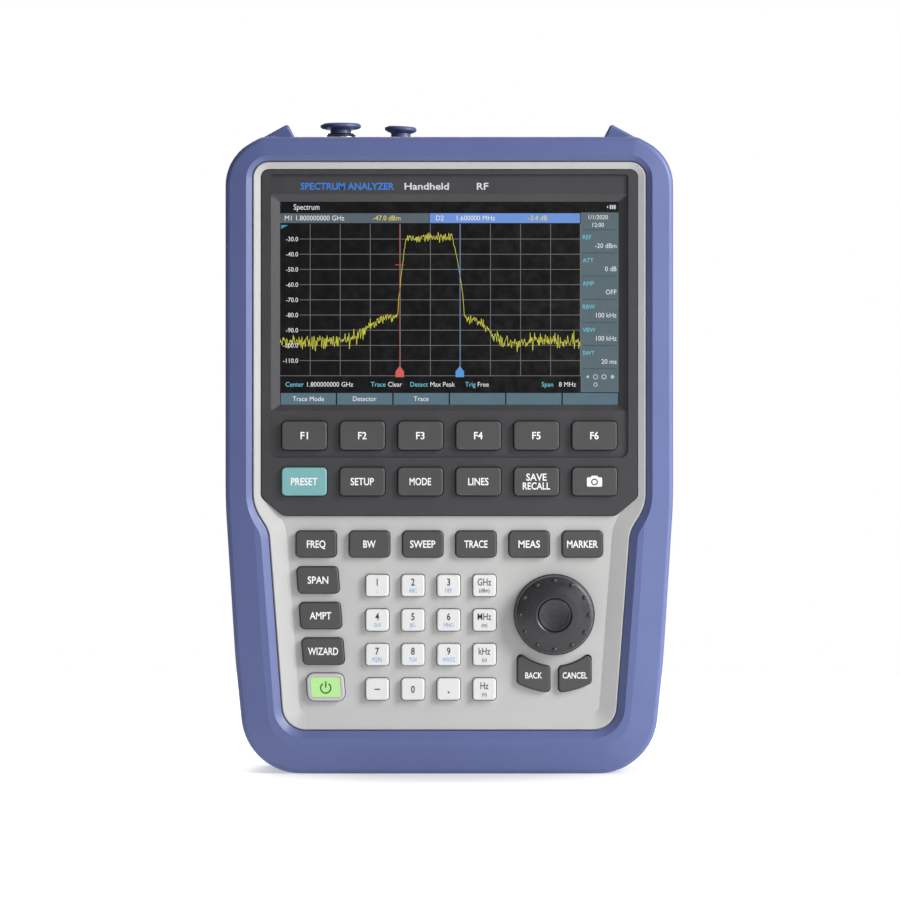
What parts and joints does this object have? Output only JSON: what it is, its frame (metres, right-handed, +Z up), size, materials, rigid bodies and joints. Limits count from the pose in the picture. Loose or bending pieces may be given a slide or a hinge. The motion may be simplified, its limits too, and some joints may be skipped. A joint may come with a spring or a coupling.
{
  "type": "handheld spectrum analyzer",
  "caption": "Handheld spectrum analyzer with rubber bumper, colour display, sprung keypad, tuning knob, capped coaxial jacks, socket door, battery bay and tilt stand.",
  "frame": {"origin": "middle of the footprint, on the surface the instrument stands on", "axes": "+X to the viewer's right, -Y out of the screen, +Z up towards the connectors"},
  "size_m": [0.202, 0.076, 0.2956],
  "materials": {
    "bumper": "satin moulded blue elastomer with a fine texture",
    "bezel": "light grey moulded plastic, fine texture",
    "panel": "dark grey moulded plastic, fine texture",
    "dark_key": "dark grey key caps with white printed legends",
    "white_key": "white key caps with dark printed legends",
    "preset_key": "teal key cap",
    "power_key": "translucent grey key cap round a green lit window",
    "display_glass": "black glossy cover glass",
    "lcd": "display module in a metal frame",
    "knob": "black satin plastic dial",
    "mat": "translucent grey silicone",
    "circuit_board": "green solder mask",
    "rear_plastic": "grey moulded plastic, spark-eroded texture",
    "battery": "black battery case",
    "stand": "black glass-filled plastic",
    "steel": "plated steel screws",
    "nickel": "nickel-plated brass connector",
    "cap": "soft blue dust cap"
  },
  "bodies": {
    "instrument": {"battery_lid": "rear_plastic", "battery_pack": "battery", "control_panel": "panel", "cover_screws": "steel", "display_window": "display_glass", "front_bezel": "bezel", "keypad_board": "circuit_board", "keypad_mat": "mat", "lcd_module": "lcd", "main_board": "circuit_board", "protective_bumper": "bumper", "rear_cover": "rear_plastic", "rf_connector": "nickel", "trigger_connector": "nickel"},
    "key_0": {"key_0": "white_key"},
    "key_1": {"key_1": "white_key"},
    "key_2": {"key_2": "white_key"},
    "key_3": {"key_3": "white_key"},
    "key_4": {"key_4": "white_key"},
    "key_5": {"key_5": "white_key"},
    "key_6": {"key_6": "white_key"},
    "key_7": {"key_7": "white_key"},
    "key_8": {"key_8": "white_key"},
    "key_9": {"key_9": "white_key"},
    "key_ampt": {"key_ampt": "dark_key"},
    "key_back": {"key_back": "dark_key"},
    "key_bw": {"key_bw": "dark_key"},
    "key_camera": {"key_camera": "dark_key"},
    "key_cancel": {"key_cancel": "dark_key"},
    "key_f1": {"key_f1": "dark_key"},
    "key_f2": {"key_f2": "dark_key"},
    "key_f3": {"key_f3": "dark_key"},
    "key_f4": {"key_f4": "dark_key"},
    "key_f5": {"key_f5": "dark_key"},
    "key_f6": {"key_f6": "dark_key"},
    "key_freq": {"key_freq": "dark_key"},
    "key_ghz": {"key_ghz": "white_key"},
    "key_hz": {"key_hz": "white_key"},
    "key_khz": {"key_khz": "white_key"},
    "key_lines": {"key_lines": "dark_key"},
    "key_marker": {"key_marker": "dark_key"},
    "key_meas": {"key_meas": "dark_key"},
    "key_mhz": {"key_mhz": "white_key"},
    "key_minus": {"key_minus": "white_key"},
    "key_mode": {"key_mode": "dark_key"},
    "key_point": {"key_point": "white_key"},
    "key_power": {"key_power": "power_key"},
    "key_preset": {"key_preset": "preset_key"},
    "key_save": {"key_save": "dark_key"},
    "key_setup": {"key_setup": "dark_key"},
    "key_span": {"key_span": "dark_key"},
    "key_sweep": {"key_sweep": "dark_key"},
    "key_trace": {"key_trace": "dark_key"},
    "key_wizard": {"key_wizard": "dark_key"},
    "tuning_knob": {"tuning_knob": "knob"},
    "enter_button": {"enter_button": "knob"},
    "rf_cap": {"rf_cap": "cap"},
    "trigger_cap": {"trigger_cap": "cap"},
    "service_door": {"service_door": "bumper"},
    "kickstand": {"kickstand": "stand"}
  },
  "joints": [
    {"name": "knob_turn", "type": "hinge", "parent": "instrument", "child": "tuning_knob", "pos_m": [0.0473, -0.033, 0.0717], "axis": [0, -1, 0], "continuous": true},
    {"name": "enter_press", "type": "slide", "parent": "tuning_knob", "child": "enter_button", "axis": [0, 1, 0], "range_m": [0, 0.0006], "stiffness_N_per_m": 1500, "springref_m": -0.0008},
    {"name": "rf_cap_pull", "type": "slide", "parent": "instrument", "child": "rf_cap", "axis": [0, 0, 1], "range_m": [0, 0.04]},
    {"name": "trigger_cap_pull", "type": "slide", "parent": "instrument", "child": "trigger_cap", "axis": [0, 0, 1], "range_m": [0, 0.035]},
    {"name": "service_door_swing", "type": "hinge", "parent": "instrument", "child": "service_door", "pos_m": [-0.0995, 0.0044, 0.168], "axis": [0, 0, -1], "range_deg": [0, 100]},
    {"name": "kickstand_swing", "type": "hinge", "parent": "instrument", "child": "kickstand", "pos_m": [0, 0.0315, 0.196], "axis": [1, 0, 0], "range_deg": [0, 35]},
    {"name": "key_0_press", "type": "slide", "parent": "instrument", "child": "key_0", "axis": [0, 1, 0], "range_m": [0, 0.001], "stiffness_N_per_m": 1200, "springref_m": -0.0008},
    {"name": "key_1_press", "type": "slide", "parent": "instrument", "child": "key_1", "axis": [0, 1, 0], "range_m": [0, 0.001], "stiffness_N_per_m": 1200, "springref_m": -0.0008},
    {"name": "key_2_press", "type": "slide", "parent": "instrument", "child": "key_2", "axis": [0, 1, 0], "range_m": [0, 0.001], "stiffness_N_per_m": 1200, "springref_m": -0.0008},
    {"name": "key_3_press", "type": "slide", "parent": "instrument", "child": "key_3", "axis": [0, 1, 0], "range_m": [0, 0.001], "stiffness_N_per_m": 1200, "springref_m": -0.0008},
    {"name": "key_4_press", "type": "slide", "parent": "instrument", "child": "key_4", "axis": [0, 1, 0], "range_m": [0, 0.001], "stiffness_N_per_m": 1200, "springref_m": -0.0008},
    {"name": "key_5_press", "type": "slide", "parent": "instrument", "child": "key_5", "axis": [0, 1, 0], "range_m": [0, 0.001], "stiffness_N_per_m": 1200, "springref_m": -0.0008},
    {"name": "key_6_press", "type": "slide", "parent": "instrument", "child": "key_6", "axis": [0, 1, 0], "range_m": [0, 0.001], "stiffness_N_per_m": 1200, "springref_m": -0.0008},
    {"name": "key_7_press", "type": "slide", "parent": "instrument", "child": "key_7", "axis": [0, 1, 0], "range_m": [0, 0.001], "stiffness_N_per_m": 1200, "springref_m": -0.0008},
    {"name": "key_8_press", "type": "slide", "parent": "instrument", "child": "key_8", "axis": [0, 1, 0], "range_m": [0, 0.001], "stiffness_N_per_m": 1200, "springref_m": -0.0008},
    {"name": "key_9_press", "type": "slide", "parent": "instrument", "child": "key_9", "axis": [0, 1, 0], "range_m": [0, 0.001], "stiffness_N_per_m": 1200, "springref_m": -0.0008},
    {"name": "key_ampt_press", "type": "slide", "parent": "instrument", "child": "key_ampt", "axis": [0, 1, 0], "range_m": [0, 0.001], "stiffness_N_per_m": 1200, "springref_m": -0.0008},
    {"name": "key_back_press", "type": "slide", "parent": "instrument", "child": "key_back", "axis": [0, 1, 0], "range_m": [0, 0.001], "stiffness_N_per_m": 1200, "springref_m": -0.0008},
    {"name": "key_bw_press", "type": "slide", "parent": "instrument", "child": "key_bw", "axis": [0, 1, 0], "range_m": [0, 0.001], "stiffness_N_per_m": 1200, "springref_m": -0.0008},
    {"name": "key_camera_press", "type": "slide", "parent": "instrument", "child": "key_camera", "axis": [0, 1, 0], "range_m": [0, 0.001], "stiffness_N_per_m": 1200, "springref_m": -0.0008},
    {"name": "key_cancel_press", "type": "slide", "parent": "instrument", "child": "key_cancel", "axis": [0, 1, 0], "range_m": [0, 0.001], "stiffness_N_per_m": 1200, "springref_m": -0.0008},
    {"name": "key_f1_press", "type": "slide", "parent": "instrument", "child": "key_f1", "axis": [0, 1, 0], "range_m": [0, 0.001], "stiffness_N_per_m": 1200, "springref_m": -0.0008},
    {"name": "key_f2_press", "type": "slide", "parent": "instrument", "child": "key_f2", "axis": [0, 1, 0], "range_m": [0, 0.001], "stiffness_N_per_m": 1200, "springref_m": -0.0008},
    {"name": "key_f3_press", "type": "slide", "parent": "instrument", "child": "key_f3", "axis": [0, 1, 0], "range_m": [0, 0.001], "stiffness_N_per_m": 1200, "springref_m": -0.0008},
    {"name": "key_f4_press", "type": "slide", "parent": "instrument", "child": "key_f4", "axis": [0, 1, 0], "range_m": [0, 0.001], "stiffness_N_per_m": 1200, "springref_m": -0.0008},
    {"name": "key_f5_press", "type": "slide", "parent": "instrument", "child": "key_f5", "axis": [0, 1, 0], "range_m": [0, 0.001], "stiffness_N_per_m": 1200, "springref_m": -0.0008},
    {"name": "key_f6_press", "type": "slide", "parent": "instrument", "child": "key_f6", "axis": [0, 1, 0], "range_m": [0, 0.001], "stiffness_N_per_m": 1200, "springref_m": -0.0008},
    {"name": "key_freq_press", "type": "slide", "parent": "instrument", "child": "key_freq", "axis": [0, 1, 0], "range_m": [0, 0.001], "stiffness_N_per_m": 1200, "springref_m": -0.0008},
    {"name": "key_ghz_press", "type": "slide", "parent": "instrument", "child": "key_ghz", "axis": [0, 1, 0], "range_m": [0, 0.001], "stiffness_N_per_m": 1200, "springref_m": -0.0008},
    {"name": "key_hz_press", "type": "slide", "parent": "instrument", "child": "key_hz", "axis": [0, 1, 0], "range_m": [0, 0.001], "stiffness_N_per_m": 1200, "springref_m": -0.0008},
    {"name": "key_khz_press", "type": "slide", "parent": "instrument", "child": "key_khz", "axis": [0, 1, 0], "range_m": [0, 0.001], "stiffness_N_per_m": 1200, "springref_m": -0.0008},
    {"name": "key_lines_press", "type": "slide", "parent": "instrument", "child": "key_lines", "axis": [0, 1, 0], "range_m": [0, 0.001], "stiffness_N_per_m": 1200, "springref_m": -0.0008},
    {"name": "key_marker_press", "type": "slide", "parent": "instrument", "child": "key_marker", "axis": [0, 1, 0], "range_m": [0, 0.001], "stiffness_N_per_m": 1200, "springref_m": -0.0008},
    {"name": "key_meas_press", "type": "slide", "parent": "instrument", "child": "key_meas", "axis": [0, 1, 0], "range_m": [0, 0.001], "stiffness_N_per_m": 1200, "springref_m": -0.0008},
    {"name": "key_mhz_press", "type": "slide", "parent": "instrument", "child": "key_mhz", "axis": [0, 1, 0], "range_m": [0, 0.001], "stiffness_N_per_m": 1200, "springref_m": -0.0008},
    {"name": "key_minus_press", "type": "slide", "parent": "instrument", "child": "key_minus", "axis": [0, 1, 0], "range_m": [0, 0.001], "stiffness_N_per_m": 1200, "springref_m": -0.0008},
    {"name": "key_mode_press", "type": "slide", "parent": "instrument", "child": "key_mode", "axis": [0, 1, 0], "range_m": [0, 0.001], "stiffness_N_per_m": 1200, "springref_m": -0.0008},
    {"name": "key_point_press", "type": "slide", "parent": "instrument", "child": "key_point", "axis": [0, 1, 0], "range_m": [0, 0.001], "stiffness_N_per_m": 1200, "springref_m": -0.0008},
    {"name": "key_power_press", "type": "slide", "parent": "instrument", "child": "key_power", "axis": [0, 1, 0], "range_m": [0, 0.001], "stiffness_N_per_m": 1200, "springref_m": -0.0008},
    {"name": "key_preset_press", "type": "slide", "parent": "instrument", "child": "key_preset", "axis": [0, 1, 0], "range_m": [0, 0.001], "stiffness_N_per_m": 1200, "springref_m": -0.0008},
    {"name": "key_save_press", "type": "slide", "parent": "instrument", "child": "key_save", "axis": [0, 1, 0], "range_m": [0, 0.001], "stiffness_N_per_m": 1200, "springref_m": -0.0008},
    {"name": "key_setup_press", "type": "slide", "parent": "instrument", "child": "key_setup", "axis": [0, 1, 0], "range_m": [0, 0.001], "stiffness_N_per_m": 1200, "springref_m": -0.0008},
    {"name": "key_span_press", "type": "slide", "parent": "instrument", "child": "key_span", "axis": [0, 1, 0], "range_m": [0, 0.001], "stiffness_N_per_m": 1200, "springref_m": -0.0008},
    {"name": "key_sweep_press", "type": "slide", "parent": "instrument", "child": "key_sweep", "axis": [0, 1, 0], "range_m": [0, 0.001], "stiffness_N_per_m": 1200, "springref_m": -0.0008},
    {"name": "key_trace_press", "type": "slide", "parent": "instrument", "child": "key_trace", "axis": [0, 1, 0], "range_m": [0, 0.001], "stiffness_N_per_m": 1200, "springref_m": -0.0008},
    {"name": "key_wizard_press", "type": "slide", "parent": "instrument", "child": "key_wizard", "axis": [0, 1, 0], "range_m": [0, 0.001], "stiffness_N_per_m": 1200, "springref_m": -0.0008}
  ]
}
